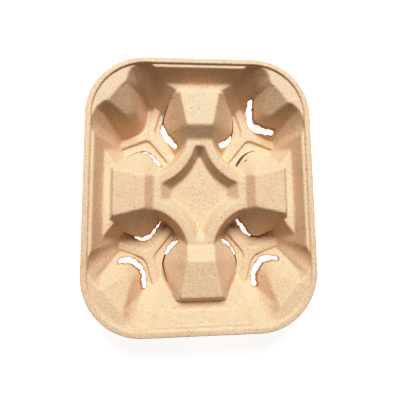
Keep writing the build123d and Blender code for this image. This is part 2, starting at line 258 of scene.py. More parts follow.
def facet(a, b, c, inside):
    """Plane through three points. Its unit normal points away from the point inside."""
    a, b, c, inside = (np.array(p, float) for p in (a, b, c, inside))
    normal = np.cross(b - a, c - a)
    normal /= np.linalg.norm(normal)
    if normal @ (inside - a) > 0:
        normal = -normal
    return (*normal, normal @ a)


def tilted(point, normal):
    """Plane through a point with the given normal."""
    unit = np.array(normal, float) / np.linalg.norm(normal)
    return (*unit, unit @ np.array(point, float))


def step_of(sides, shoulder, outward):
    """Planes of the thin step behind a bump: the bump's sides moved out a little, its back moved further."""
    east, north = outward
    back = tilted(shoulder, (east, north, STEP_BACK_LEAN))
    front = tilted(shoulder, (-east, -north, 0))
    planes = [(*side[:3], side[3] + STEP_SIDE_WIDTH) for side in sides]
    return planes + [(*plane[:3], plane[3] + STEP_WIDTH) for plane in (back, front)]


def behind(planes, x, y, z, k):
    """Distance from the block behind all the planes: the largest of their distances."""
    whole = None
    for nx, ny, nz, offset in planes:
        part = nx * x + ny * y + nz * z - offset
        whole = part if whole is None else soft_max(whole, part, k)
    return whole


def scoop(shape, x, y, z, foot_z):
    """Depth inside a leaning cone whose circle slides and widens evenly from its foot up to the rim."""
    share = (z - foot_z) / (TRAY_HEIGHT - foot_z)
    centre_x, centre_y, radius = (f + (t - f) * share for f, t in zip(shape["foot"], shape["top"]))
    rise = [(t - f) / (TRAY_HEIGHT - foot_z) for f, t in zip(shape["foot"], shape["top"])]
    dx, dy = x - centre_x, y - centre_y
    away = np.maximum(np.hypot(dx, dy), 1e-6)
    slope = rise[2] + (rise[0] * dx + rise[1] * dy) / away
    return (radius - away) / np.sqrt(1.0 + slope * slope)


def round_wall(x, y, z, centre, radius, z_at, lean):
    """Depth inside an upright cone of the given radius at height z_at, which grows by lean for each mm up."""
    away = np.hypot(x - centre[0], y - centre[1])
    return (radius + lean * (z - z_at) - away) / math.sqrt(1.0 + lean * lean)


def inset_from_rim(x, y):
    """Distance in from the rim's outline, a rectangle with round corners."""
    qx = x - (HALF_W - CORNER_RADIUS)
    qy = y - (HALF_L - CORNER_RADIUS)
    outside = np.hypot(np.maximum(qx, 0), np.maximum(qy, 0))
    return CORNER_RADIUS - outside - np.minimum(np.maximum(qx, qy), 0)


class Moulding:
    """The tray's upper surface as a signed distance: positive in the air above it, negative in and under it.
    One quarter is described, and the others are its mirror images. Extra softness widens the rounding at the
    foot of each shape, as it is on the back of the pulp, one wall further out."""

    def __init__(self, sizes, extra_softness=0.0):
        self.floor_z = sizes.wall / MM
        self.ridge_z = self.floor_z + sizes.ridge_height / MM
        self.ridge_half = sizes.ridge_width / MM / 2
        self.toe_z = self.ridge_z + TOE_RISE
        self.edge = sizes.edge_softness / MM
        self.foot = sizes.foot_softness / MM + extra_softness
        self.end_wall = facet((0, END_WALL_TOP, LEDGE_Z), (1, END_WALL_TOP, LEDGE_Z),
                              (0, END_WALL_FOOT, self.ridge_z), (0, HALF_L, 0))
        self.side_wall = facet((SIDE_WALL_TOP, 0, LEDGE_Z), (SIDE_WALL_TOP, 1, LEDGE_Z),
                               (SIDE_WALL_FOOT, 0, self.ridge_z), (HALF_W, 0, 0))
        self.end_bump()
        self.side_bump()
        self.corner_wedge()

    def end_bump(self):
        """Facets of the bump at the short end, of the step behind it and of its gutter."""
        core = (0, 70, 4)
        shoulder, crest, foot = END_BUMP_SHOULDER, END_BUMP_CREST, END_BUMP_FOOT
        toe, knee, heel = ((*point, self.toe_z) for point in (END_BUMP_TOE, END_BUMP_KNEE, END_BUMP_HEEL))
        corners = ((shoulder, crest, toe), (crest, foot, knee), (shoulder, toe, heel))
        sides = [facet(*three, core) for three in corners]
        top = facet(shoulder, crest, (-crest[0], crest[1], crest[2]), core)
        front = facet(crest, foot, (-foot[0], foot[1], foot[2]), core)
        self.end_facets = sides + [top, front, tilted(shoulder, (0, 1, BACK_LEAN))]
        self.end_step = step_of(sides, shoulder, (0, 1))
        share = (LEDGE_Z - GUTTER_Z) / (LEDGE_Z - self.ridge_z)
        wall = (END_GUTTER_WALL, END_WALL_TOP - END_WALL_RUN * share, GUTTER_Z)
        self.end_gutter = [facet(wall, END_GUTTER_BUMP, heel, (0, HALF_L, 0)), (0, 0, 1, GUTTER_Z)]

    def side_bump(self):
        """The same for the bump at the long side."""
        core = (58, 0, 4)
        shoulder, crest, foot = SIDE_BUMP_SHOULDER, SIDE_BUMP_CREST, SIDE_BUMP_FOOT
        toe, knee, heel = ((*point, self.toe_z) for point in (SIDE_BUMP_TOE, SIDE_BUMP_KNEE, SIDE_BUMP_HEEL))
        corners = ((shoulder, crest, toe), (crest, foot, knee), (shoulder, toe, heel))
        sides = [facet(*three, core) for three in corners]
        top = facet(shoulder, crest, (crest[0], -crest[1], crest[2]), core)
        front = facet(crest, foot, (foot[0], -foot[1], foot[2]), core)
        self.side_facets = sides + [top, front, tilted(shoulder, (1, 0, BACK_LEAN))]
        self.side_step = step_of(sides, shoulder, (1, 0))
        share = (LEDGE_Z - GUTTER_Z) / (LEDGE_Z - self.ridge_z)
        wall = (SIDE_WALL_TOP - SIDE_WALL_RUN * share, SIDE_GUTTER_WALL, GUTTER_Z)
        self.side_gutter = [facet(wall, SIDE_GUTTER_BUMP, heel, (HALF_W, 0, 0)), (0, 0, 1, GUTTER_Z)]

    def corner_wedge(self):
        """Facets of the corner wedge, and planes that fill the corner behind the scoops on either hand."""
        core = (HALF_W, HALF_L, 0)
        end, side = (*WEDGE_END, LEDGE_Z), (*WEDGE_SIDE, LEDGE_Z)
        nose_end, nose_side = (*WEDGE_NOSE_END, WEDGE_NOSE_Z), (*WEDGE_NOSE_SIDE, WEDGE_NOSE_Z)
        self.wedge_facets = [
            (0, 0, 1, LEDGE_Z),
            facet(end, side, nose_side, core),
            facet(end, nose_end, (*WEDGE_HEEL_END, WEDGE_HEEL_Z), core),
            facet(side, nose_side, (*WEDGE_HEEL_SIDE, WEDGE_HEEL_Z), core),
        ]
        self.corner_fills = [self.beside(shape, core) for shape in (END_SCOOP, SIDE_SCOOP)]

    def beside(self, shape, core):
        """Plane that touches a scoop at the rim, on its side towards the corner, and is steeper than it."""
        corners = []
        for name, height, back in (("foot", self.ridge_z, FILL_SET_BACK), ("top", TRAY_HEIGHT, 0)):
            east, north, radius = shape[name]
            aside = radius * math.sqrt(0.5) + back
            corners.append((east + aside, north + aside, height))
        low, high = corners
        return facet(low, high, (high[0] - 1, high[1] + 1, high[2]), core)

    def ground(self, x, y, z, scoops):
        """Floor and walls, with two leaning scoops cut out of the walls of each pocket."""
        end = behind([self.end_wall], x, y, z, WALL_ROUND)
        side = behind([self.side_wall], x, y, z, WALL_ROUND)
        walls = soft_min(end, side, self.foot)
        return soft_min(z - self.floor_z, soft_max(walls, scoops, self.edge), self.foot)

    def bumps(self, x, y, z):
        """End bump and side bump, each with the thin step round its outer edge and its gutter."""
        both = []
        for facets, step, gutter in (
            (self.end_facets, self.end_step, self.end_gutter),
            (self.side_facets, self.side_step, self.side_gutter),
        ):
            bump = behind(facets, x, y, z, self.edge)
            ledge = soft_max(behind(step, x, y, z, STEP_ROUND), z - STEP_Z, STEP_TOP_ROUND)
            bump = soft_min(bump, ledge, THIN_ROUND)
            both.append(soft_min(bump, behind(gutter, x, y, z, self.edge), THIN_ROUND))
        return soft_min(*both, self.foot)

    def wedge(self, x, y, z, scoops):
        """Corner wedge: shelf, sloping front and two sides on a round toe, cut by the scoops beside it."""
        block = behind(self.wedge_facets, x, y, z, WEDGE_ROUND)
        block = soft_max(block, -scoop(WEDGE_TOE, x, y, z, self.ridge_z), TOE_ROUND)
        for fill in self.corner_fills:
            corner = soft_max(z - LEDGE_Z, behind([fill], x, y, z, WALL_ROUND), self.edge)
            block = soft_min(block, corner, FILL_ROUND)
        return soft_max(block, scoops, SCOOP_ROUND)

    def plateau(self, x, y, z):
        """Raised middle, hollowed by a cup cone at each corner, with the star recess cut into its top."""
        lean = (CUP_ARC_TOP - CUP_ARC_FOOT) / (PLATEAU_Z - self.ridge_z)
        cup = round_wall(x, y, z, CUP_CENTRE, CUP_ARC_TOP, PLATEAU_Z, lean)
        block = soft_max(z - PLATEAU_Z, cup, self.edge + THIN_ROUND)
        block = np.maximum(block, np.maximum(x - PLATEAU_REACH[0], y - PLATEAU_REACH[1]))
        depth = PLATEAU_Z - RECESS_FLOOR_Z
        lean = (RECESS_ARC_TOP - RECESS_ARC_FOOT) / depth
        star = -round_wall(x, y, z, RECESS_CENTRE, RECESS_ARC_TOP, PLATEAU_Z, lean)
        tip_lean = RECESS_TIP_RUN / depth
        length = math.hypot(1.0, tip_lean)
        ends = zip(RECESS_TIPS, (x, y))
        tips = [(tip - across + (z - PLATEAU_Z) * tip_lean) / length for tip, across in ends]
        hollow = soft_min(star, soft_min(*tips, TIP_ROUND), RECESS_ROUND)
        return soft_max(block, soft_min(hollow, z - RECESS_FLOOR_Z, self.foot), self.edge)

    def ridge(self, x, y, z):
        """Y ridge: three strips from the hub, filleted where they meet, with steep sides."""
        plan = None
        for end in ARM_ENDS:
            ax, ay = end[0] - HUB[0], end[1] - HUB[1]
            length = math.hypot(ax, ay)
            ax, ay = ax / length, ay / length
            along = np.maximum((x - HUB[0]) * ax + (y - HUB[1]) * ay, 0)
            aside = np.hypot(x - HUB[0] - along * ax, y - HUB[1] - along * ay) - self.ridge_half
            plan = aside if plan is None else soft_min(plan, aside, RIDGE_CORNER)
        side = (plan + (z - self.ridge_z) * RIDGE_LEAN) / math.hypot(1, RIDGE_LEAN)
        return soft_max(side, z - self.ridge_z, RIDGE_ROUND)

    def __call__(self, x, y, z):
        """All the shapes joined, inside the rim's outline, with the rim's step and well cut from the top."""
        x, y = np.abs(x), np.abs(y)
        scoops = np.maximum(*(scoop(shape, x, y, z, self.ridge_z) for shape in (END_SCOOP, SIDE_SCOOP)))
        solid = soft_min(self.ground(x, y, z, scoops), self.bumps(x, y, z), self.foot)
        solid = soft_min(solid, self.wedge(x, y, z, scoops), self.foot)
        solid = soft_min(solid, self.plateau(x, y, z), self.foot)
        solid = soft_min(solid, self.ridge(x, y, z), THIN_ROUND)
        inset = inset_from_rim(x, y) - RIM_WIDTH
        solid = soft_min(solid, inset - RIM_STEP_RUN, RIM_ROUND)
        slope = RIM_STEP_RUN / RIM_STEP_DROP
        step = (inset - (TRAY_HEIGHT - z) * slope) / math.hypot(1, slope)
        well = soft_min(z - LEDGE_Z, step, STEP_TOP_ROUND)
        return soft_max(soft_max(solid, well, WELL_ROUND), z - TRAY_HEIGHT, RIM_ROUND)


SEARCH_REACH = 12.0    # how far below the floor and above the rim the surface is looked for
HALVINGS = 17


def surface_height(skin, x, y, level):
    """Height where the skin's distance equals level, found by halving the range again and again."""
    low = np.full(x.shape, -SEARCH_REACH)
    high = np.full(x.shape, TRAY_HEIGHT + SEARCH_REACH)
    for _ in range(HALVINGS):
        middle = (low + high) / 2
        above = skin(x, y, middle) > level
        high = np.where(above, middle, high)
        low = np.where(above, low, middle)
    return (low + high) / 2


# ================================ slots ================================

# Each slot is a line of points (x, y, half width), torn through the floor at the foot of a bump or wedge.
SLOTS = [
    [(-32.6, 61.5, 1.6), (-30.8, 55.0, 2.2), (-26.4, 48.7, 2.3), (-20.8, 42.2, 1.9)],
    [(30.2, 52.4, 1.0), (26.0, 46.9, 2.3), (20.0, 43.3, 2.3)],
    [(47.9, 83.4, 2.2), (47.9, 72.0, 2.0), (49.5, 64.5, 2.2), (53.4, 60.0, 2.5), (59.3, 57.0, 2.2),
     (67.4, 55.4, 2.3)],
    [(-49.5, 37.8, 0.8), (-45.8, 36.4, 1.1), (-40.0, 32.0, 1.5), (-34.3, 24.8, 1.2)],
    [(-57.1, -37.4, 0.8), (-49.3, -39.1, 1.5), (-43.2, -36.4, 1.5), (-38.6, -31.0, 1.2), (-34.0, -24.2, 0.8)],
    [(33.6, -24.0, 1.2), (37.9, -29.6, 1.5), (41.7, -34.7, 1.5), (45.4, -37.6, 1.0)],
    [(-19.4, -41.2, 1.0), (-24.9, -45.4, 1.5), (-29.8, -51.8, 1.2)],
    [(20.0, -40.9, 1.1), (25.8, -44.9, 1.2), (30.0, -50.2, 0.9), (31.3, -54.0, 0.7)],
    [(-67.0, -56.4, 1.9), (-59.3, -56.5, 2.0), (-53.3, -60.2, 1.7), (-49.3, -66.6, 1.2), (-47.8, -79.0, 1.6)],
    [(67.0, -57.2, 1.4), (60.0, -56.9, 2.0), (54.0, -59.6, 2.0), (50.2, -64.8, 1.7), (48.0, -70.0, 1.5),
     (47.7, -79.0, 2.0)],
]

# Cracks that run on from the slots and are still closed: lines of points (x, y, half width), and how deep the
# surface sinks along them and how far from their edges that starts.
CRACK_DEPTH = 0.6
CRACK_REACH = 0.9
CRACKS = [
    [(-27.6, 79.0, 0.3), (-31.0, 72.0, 0.5), (-32.6, 63.5, 0.7)],
    [(32.6, 68.0, 0.2), (32.4, 61.0, 0.4), (31.2, 54.0, 0.6)],
    [(-64.0, 33.4, 0.2), (-57.5, 36.9, 0.5), (-50.5, 38.2, 0.5)],
    [(51.8, 39.3, 0.4), (45.4, 37.2, 0.5), (40.6, 33.7, 0.9), (36.6, 28.6, 1.0), (34.2, 24.8, 0.8)],
    [(40.5, 28.0, 0.3), (42.8, 29.6, 0.5)],
    [(-65.0, -33.4, 0.3), (-60.0, -36.0, 0.5), (-56.8, -37.6, 0.5)],
    [(46.0, -38.2, 0.6), (52.3, -38.9, 0.6), (57.0, -37.6, 0.5), (64.4, -34.2, 0.3)],
    [(-30.2, -53.4, 0.7), (-31.8, -60.1, 0.7), (-30.9, -66.1, 0.6), (-28.0, -75.5, 0.3)],
    [(31.3, -53.5, 0.6), (32.9, -60.4, 0.5), (32.4, -66.0, 0.2)],
]


def smooth_line(points, count=24):
    """Catmull-Rom curve through the points, as an array of count points for each stretch.
    Between b and c it is half of 2b + (c - a)t + (2a - 5b + 4c - d)t^2 + (3b - a - 3c + d)t^3."""
    p = np.array([points[0], *points, points[-1]], float)
    t = np.linspace(0, 1, count, endpoint=False)[:, None]
    parts = []
    for a, b, c, d in zip(p, p[1:], p[2:], p[3:]):
        square, cube = 2 * a - 5 * b + 4 * c - d, 3 * b - a - 3 * c + d
        parts.append(0.5 * (2 * b + (c - a) * t + square * t**2 + cube * t**3))
    return np.vstack(parts + [p[-1:]])


def value_noise(x, y, cell, seed):
    """Random values on a square lattice of the given cell, blended smoothly between: from -1 to 1."""
    lattice = np.random.default_rng(seed).uniform(-1, 1, (256, 256))
    u, v = x / cell + 100.3, y / cell + 100.7
    i, j = np.floor(u).astype(int), np.floor(v).astype(int)
    fu, fv = u - i, v - j
    fu, fv = fu * fu * (3 - 2 * fu), fv * fv * (3 - 2 * fv)
    i, j = i % 256, j % 256
    i1, j1 = (i + 1) % 256, (j + 1) % 256
    low = lattice[i, j] * (1 - fu) + lattice[i1, j] * fu
    high = lattice[i, j1] * (1 - fu) + lattice[i1, j1] * fu
    return low * (1 - fv) + high * fv


FAR = 50.0          # distance that is given to points away from every line
SLOT_REACH = 8.0    # how far from a slot or crack its edge distance is worked out
CRACK_NEAR = 3.0    # and how far from a crack its line's sides are


def beside_line(x, y, line, reach):
    """Whether each point is within reach of the box round a line."""
    low, high = line[:, :2].min(0) - reach, line[:, :2].max(0) + reach
    return (x > low[0]) & (x < high[0]) & (y > low[1]) & (y < high[1])


def edge_distance(x, y, lines):
    """Distance in plan from the edge of the nearest of the lines, negative inside it.
    It is the distance from the line less the line's half width there."""
    nearest = np.full(x.shape, FAR)
    for points in lines:
        line = smooth_line(points)
        near = beside_line(x, y, line, SLOT_REACH)
        px, py = x[near][:, None], y[near][:, None]
        away = np.hypot(px - line[:, 0], py - line[:, 1]) - line[:, 2]
        nearest[near] = np.minimum(nearest[near], away.min(1))
    return nearest


def slot_distance(x, y, tear):
    """Distance from the nearest slot's edge, which is ragged by the given size."""
    nearest = edge_distance(x, y, SLOTS)
    ragged = value_noise(x, y, 2.6, 5) + 0.7 * value_noise(x, y, 1.2, 6)
    return nearest + tear * ragged * np.clip(1.0 - nearest / 4.0, 0, 1)


def crack_lines(x, y):
    """For each point, its signed distance across the nearest crack's line, and the crack's half width there.
    The half width falls away past the line's ends, and is far below zero away from every crack."""
    nearest = np.full(x.shape, FAR)
    aside = np.full(x.shape, FAR)
    half = np.full(x.shape, -FAR)
    for points in CRACKS:
        line = smooth_line(points)
        near = np.flatnonzero(beside_line(x, y, line, CRACK_NEAR))
        dx, dy = x[near][:, None] - line[:, 0], y[near][:, None] - line[:, 1]
        away = np.hypot(dx, dy)
        closest = away.argmin(1)
        row = np.arange(len(near))
        tx, ty = np.gradient(line[:, 0])[closest], np.gradient(line[:, 1])[closest]
        length = np.hypot(tx, ty)
        across = (dx[row, closest] * ty - dy[row, closest] * tx) / length
        along = np.sqrt(np.maximum(away[row, closest] ** 2 - across**2, 0))
        better = (away[row, closest] < nearest[near]) & (away[row, closest] < CRACK_NEAR)
        chosen = near[better]
        nearest[chosen] = away[row, closest][better]
        aside[chosen] = across[better]
        half[chosen] = line[closest, 2][better] - np.maximum(along - 0.2, 0)[better]
    return aside, half


# ================================ the grid ================================


SHARED_INSET = 9.0     # rings further in than this lie at the same places above and below
ROUND_RINGS = 10.0     # rings up to here keep the rim's round corners
ROUND_FADE = 34.0      # and over this much more the corners become square


def ring_positions(half, count, outer):
    """Half sizes of the nested rings along one axis: the outer insets, then even steps down to the middle."""
    inner = np.linspace(half - outer[-1], 0, count + 1)[1:]
    return np.concatenate([half - outer, inner])


def ring_grid(outer, count_x, count_y):
    """Points of a square grid bent so that its outermost rings follow the rim.
    Ring k is a rectangle with half sizes a and b whose corners are rounded with radius r. A point's share of
    the way from the side's middle to the corner is kept, as a share of the straight part and half the arc."""
    xs = ring_positions(HALF_W, count_x, outer)
    ys = ring_positions(HALF_L, count_y, outer)
    rings_x, rings_y = len(xs), len(ys)
    i = np.arange(2 * rings_x - 1)
    j = np.arange(2 * rings_y - 1)
    from_x = np.minimum(i, i[::-1])[:, None] * np.ones_like(j)[None]
    from_y = np.minimum(j, j[::-1])[None] * np.ones_like(i)[:, None]
    ring = np.minimum(from_x, from_y)
    upright = from_x <= from_y
    inset = HALF_W - xs
    fall = np.clip((inset - ROUND_RINGS) / ROUND_FADE, 0, 1)
    radius = np.maximum(CORNER_RADIUS - inset, 0) * (1 - fall * fall * (3 - 2 * fall))
    radius = np.where(inset < ROUND_RINGS, CORNER_RADIUS - inset, radius)
    a, b, r = xs[ring], ys[ring], np.maximum(radius[ring], 1e-6)
    own = np.where(upright, b, a)
    along = np.where(upright, ys[from_y], xs[from_x]) / np.maximum(own, 1e-6)
    straight = own - r
    run = along * (straight + r * math.pi / 4)
    angle = np.maximum(run - straight, 0) / r
    first = np.where(run < straight, run, straight + r * np.sin(angle))
    second = np.where(upright, a, b) - r * (1 - np.cos(angle))
    x = np.where(upright, second, first)
    y = np.where(upright, first, second)
    x = x * np.sign(np.arange(len(i)) - (rings_x - 1))[:, None]
    y = y * np.sign(np.arange(len(j)) - (rings_y - 1))[None]
    return x, y, ring


def rim_profile():
    """Insets and heights of the outer rings. The upper side has half of the lip's round bottom edge, its
    upright face and the rim's rounded edge. The underside has as many rings, up the lip's inner face."""
    arc = np.radians([18, 36, 54, 72, 90])
    top_z = TRAY_HEIGHT - RIM_EDGE_RADIUS
    bottom_z = TRAY_HEIGHT - RIM_LIP
    upper = [(1.0, bottom_z), (0.45, bottom_z + 0.12), (0.1, bottom_z + 0.5), (0.0, bottom_z + 1.1)]
    upper += [(0.0, top_z)]
    upper += [(RIM_EDGE_RADIUS * (1 - math.cos(t)), top_z + RIM_EDGE_RADIUS * math.sin(t)) for t in arc]
    upper += [(2.0, TRAY_HEIGHT), (2.8, TRAY_HEIGHT)]
    lower = [(1.0, bottom_z), (1.55, bottom_z + 0.12), (1.9, bottom_z + 0.5), (2.0, bottom_z + 1.1)]
    heights = np.linspace(bottom_z + 1.5, TRAY_HEIGHT - 2.35, len(upper) - len(lower))
    lower += [(2.0, z) for z in heights]
    return np.array(upper), np.array(lower)


# How the pulp wanders from its mould: cell of the noise, its share and its seed.
WANDER = ((14.0, 1.0, 1), (6.0, 0.6, 2), (2.5, 0.35, 3))


def onto_edge(x, y, border, tear, limit):
    """Moves the border points onto the slots' ragged edges, by no more than limit: down the slope of the edge
    distance, three times."""
    beside = 0.05
    for _ in range(3):
        px, py = x[border], y[border]
        away = slot_distance(px, py, tear)
        gx = (slot_distance(px + beside, py, tear) - slot_distance(px - beside, py, tear)) / (2 * beside)
        gy = (slot_distance(px, py + beside, tear) - slot_distance(px, py - beside, tear)) / (2 * beside)
        move = np.clip(away, -limit, limit) / np.maximum(gx * gx + gy * gy, 0.5)
        x[border] = px - move * gx
        y[border] = py - move * gy


def build_tray(sizes):
    """One closed mesh: upper side, underside one wall lower, shared edge at the lip, and the slots' sides."""
    skin = Moulding(sizes)
    wall = sizes.wall / MM
    step = sizes.mesh_step / MM
    upper_profile, lower_profile = rim_profile()
    fixed = len(upper_profile)
    band = np.arange(1, 21) / 20
    upper_last, lower_last = 2.8, 2.05
    upper_insets = np.concatenate([upper_profile[:, 0], upper_last + (SHARED_INSET - upper_last) * band])
    lower_insets = np.concatenate([lower_profile[:, 0], lower_last + (SHARED_INSET - lower_last) * band])
    count_x = int(round((HALF_W - SHARED_INSET) / step))
    count_y = int(round((HALF_L - SHARED_INSET) / step))
    x, y, ring = ring_grid(upper_insets, count_x, count_y)
    low_x, low_y, _ = ring_grid(lower_insets, count_x, count_y)

    tear = sizes.tear / MM
    centre_x = (x[1:, 1:] + x[:-1, :-1] + x[1:, :-1] + x[:-1, 1:]) / 4
    centre_y = (y[1:, 1:] + y[:-1, :-1] + y[1:, :-1] + y[:-1, 1:]) / 4
    open_cell = slot_distance(centre_x, centre_y, tear) < 0
    open_cell = without_pinches(open_cell)
    onto_edge(x, y, border_points(open_cell), tear, 0.35 * step)
    inner = ring >= len(upper_insets) - 1
    low_x[inner] = x[inner]
    low_y[inner] = y[inner]

    wander = sum(share * value_noise(x, y, cell, seed) for cell, share, seed in WANDER)
    wander *= sizes.unevenness / MM
    wander *= np.clip((inset_from_rim(np.abs(x), np.abs(y)) - 1.0) / 4.0, 0, 1)
    crease = CRACK_DEPTH * np.clip((CRACK_REACH - edge_distance(x, y, CRACKS)) / CRACK_REACH, 0, 1)
    top = surface_height(lambda a, b, c: skin(a, b, c) + wander + crease, x, y, 0.0)
    back = Moulding(sizes, extra_softness=wall)
    bottom = surface_height(lambda a, b, c: back(a, b, c) + wander, low_x, low_y, -wall)
    outer = ring < fixed
    top[outer] = upper_profile[ring[outer], 1]
    bottom[outer] = lower_profile[ring[outer], 1]
    top = np.minimum(top, TRAY_HEIGHT)
    bottom = np.maximum(bottom, 0.0)

    points, faces, cut = stitched(x, y, top, low_x, low_y, bottom, open_cell)
    mesh = bpy.data.meshes.new(NODE + "_pulp")
    mesh.from_pydata(points * MM, [], faces)
    smooth = np.ones(len(faces), bool)
    smooth[cut:] = False
    mesh.polygons.foreach_set("use_smooth", smooth)
    mesh.validate()
    mesh.update()
    return mesh


def thin_out(tray, sizes):
    """Merges triangles where the surface is flattest until no more than the wanted number are left.
    Then writes, for the material, each point's distance from the slots and place across the cracks, in mm."""
    count = len(tray.data.polygons)
    if count > sizes.triangles:
        thinner = tray.modifiers.new("thin out", "DECIMATE")
        thinner.ratio = sizes.triangles / count
        evaluated = tray.evaluated_get(bpy.context.evaluated_depsgraph_get())
        tray.data = bpy.data.meshes.new_from_object(evaluated)
        tray.modifiers.clear()
    points = np.empty(len(tray.data.vertices) * 3)
    tray.data.vertices.foreach_get("co", points)
    points = points.reshape(-1, 3)
    points[:, 2] = np.clip(points[:, 2], 0.0, TRAY_HEIGHT * MM)
    tray.data.vertices.foreach_set("co", points.ravel())
    points = points / MM
    torn = slot_distance(points[:, 0], points[:, 1], sizes.tear / MM)
    aside, half = crack_lines(points[:, 0], points[:, 1])
    for name, values in (("slot_distance", torn), ("crack_aside", aside), ("crack_half", half)):
        attribute = tray.data.attributes.new(name, "FLOAT", "POINT")
        attribute.data.foreach_set("value", values.astype(np.float32))


def without_pinches(open_cell):
    """Opens one more cell wherever two open cells meet only at a point, until none do."""
    while True:
        a, b = open_cell[:-1, :-1], open_cell[1:, :-1]
        c, d = open_cell[:-1, 1:], open_cell[1:, 1:]
        slant = a & d & ~b & ~c
        other = b & c & ~a & ~d
        if not (slant.any() or other.any()):
            return open_cell
        b |= slant
        a |= other


def border_points(open_cell):
    """Grid points that touch both open and closed cells."""
    open_near = np.zeros(np.array(open_cell.shape) + 1, int)
    for di in (0, 1):
        for dj in (0, 1):
            open_near[di:di + open_cell.shape[0], dj:dj + open_cell.shape[1]] += open_cell
    return (open_near > 0) & (open_near < 4)


def stitched(x, y, top, low_x, low_y, bottom, open_cell):
    """Points and triangles of the closed skin. Each cell is split along its shorter diagonal, and on the
    lines from the corners to the middle along that line. The slots' sides join the edges above and below."""
    rows, columns = x.shape
    index = np.arange(rows * columns).reshape(rows, columns)
    edge = np.zeros_like(index, bool)
    edge[[0, -1], :] = True
    edge[:, [0, -1]] = True
    under = index + rows * columns
    under[edge] = index[edge]
    points = np.concatenate([
        np.stack([x, y, top], -1).reshape(-1, 3),
        np.stack([low_x, low_y, bottom], -1).reshape(-1, 3),
    ])
    parts = []
    for grid, flip in ((index, False), (under, True)):
        a, b = grid[:-1, :-1], grid[1:, :-1]
        c, d = grid[1:, 1:], grid[:-1, 1:]
        rising = np.linalg.norm(points[a] - points[c], axis=-1)
        falling = np.linalg.norm(points[b] - points[d], axis=-1)
        i = np.arange(rows - 1)[:, None] * np.ones(columns - 1, int)[None]
        j = np.arange(columns - 1)[None] * np.ones(rows - 1, int)[:, None]
        near_i = np.minimum(i, rows - 2 - i)
        near_j = np.minimum(j, columns - 2 - j)
        corner = near_i == near_j
        same = (i < rows // 2) == (j < columns // 2)
        main = np.where(corner, same, rising <= falling)
        keep = ~open_cell
        for first, second, third, fourth, use in ((a, b, c, d, main), (b, c, d, a, ~main)):
            chosen = keep & use
            one = np.stack([first[chosen], second[chosen], third[chosen]], -1)
            two = np.stack([first[chosen], third[chosen], fourth[chosen]], -1)
            both = np.concatenate([one, two])
            parts.append(both[:, ::-1] if flip else both)
    skin_faces = np.concatenate(parts)
    padded = np.pad(open_cell, 1)
    sides = []
    for axis in (0, 1):
        before = padded[:-1, 1:-1] if axis == 0 else padded[1:-1, :-1]
        after = padded[1:, 1:-1] if axis == 0 else padded[1:-1, 1:]
        for opening, toward in ((before & ~after, 1), (~before & after, -1)):
            i, j = np.nonzero(opening)
            if axis == 0:
                p, q = (i, j), (i, j + 1)
            else:
                p, q = (i + 1, j), (i, j)
            if toward < 0:
                p, q = q, p
            sides.append(np.stack([index[p], index[q], under[q]], -1))
            sides.append(np.stack([index[p], under[q], under[p]], -1))
    sides = np.concatenate(sides)
    cut = len(skin_faces)
    faces = np.concatenate([skin_faces, sides])
    used, renumbered = np.unique(faces, return_inverse=True)
    return points[used], renumbered.reshape(faces.shape).tolist(), cut


# ================================ material ================================


def linear(hex_colour):
    """Linear RGBA of an sRGB hex value."""
    values = [int(hex_colour[k:k + 2], 16) / 255 for k in (0, 2, 4)]
    return [v / 12.92 if v <= 0.04045 else ((v + 0.055) / 1.055) ** 2.4 for v in values] + [1.0]


def add(tree, kind, settings=None, **inputs):
    """Adds a node, sets its properties, and fills its inputs from values or from other nodes' outputs.
    An input is named by its label, with _ for a space, or by i and its number."""
    node = tree.nodes.new(kind)
    for name, value in (settings or {}).items():
        setattr(node, name, value)
    for name, value in inputs.items():
        numbered = name[0] == "i" and name[1:].isdigit()
        socket = node.inputs[int(name[1:]) if numbered else name.replace("_", " ")]
        if isinstance(value, bpy.types.NodeSocket):
            tree.links.new(value, socket)
        else:
            socket.default_value = value
    return node


COLOURS = {"data_type": "RGBA"}


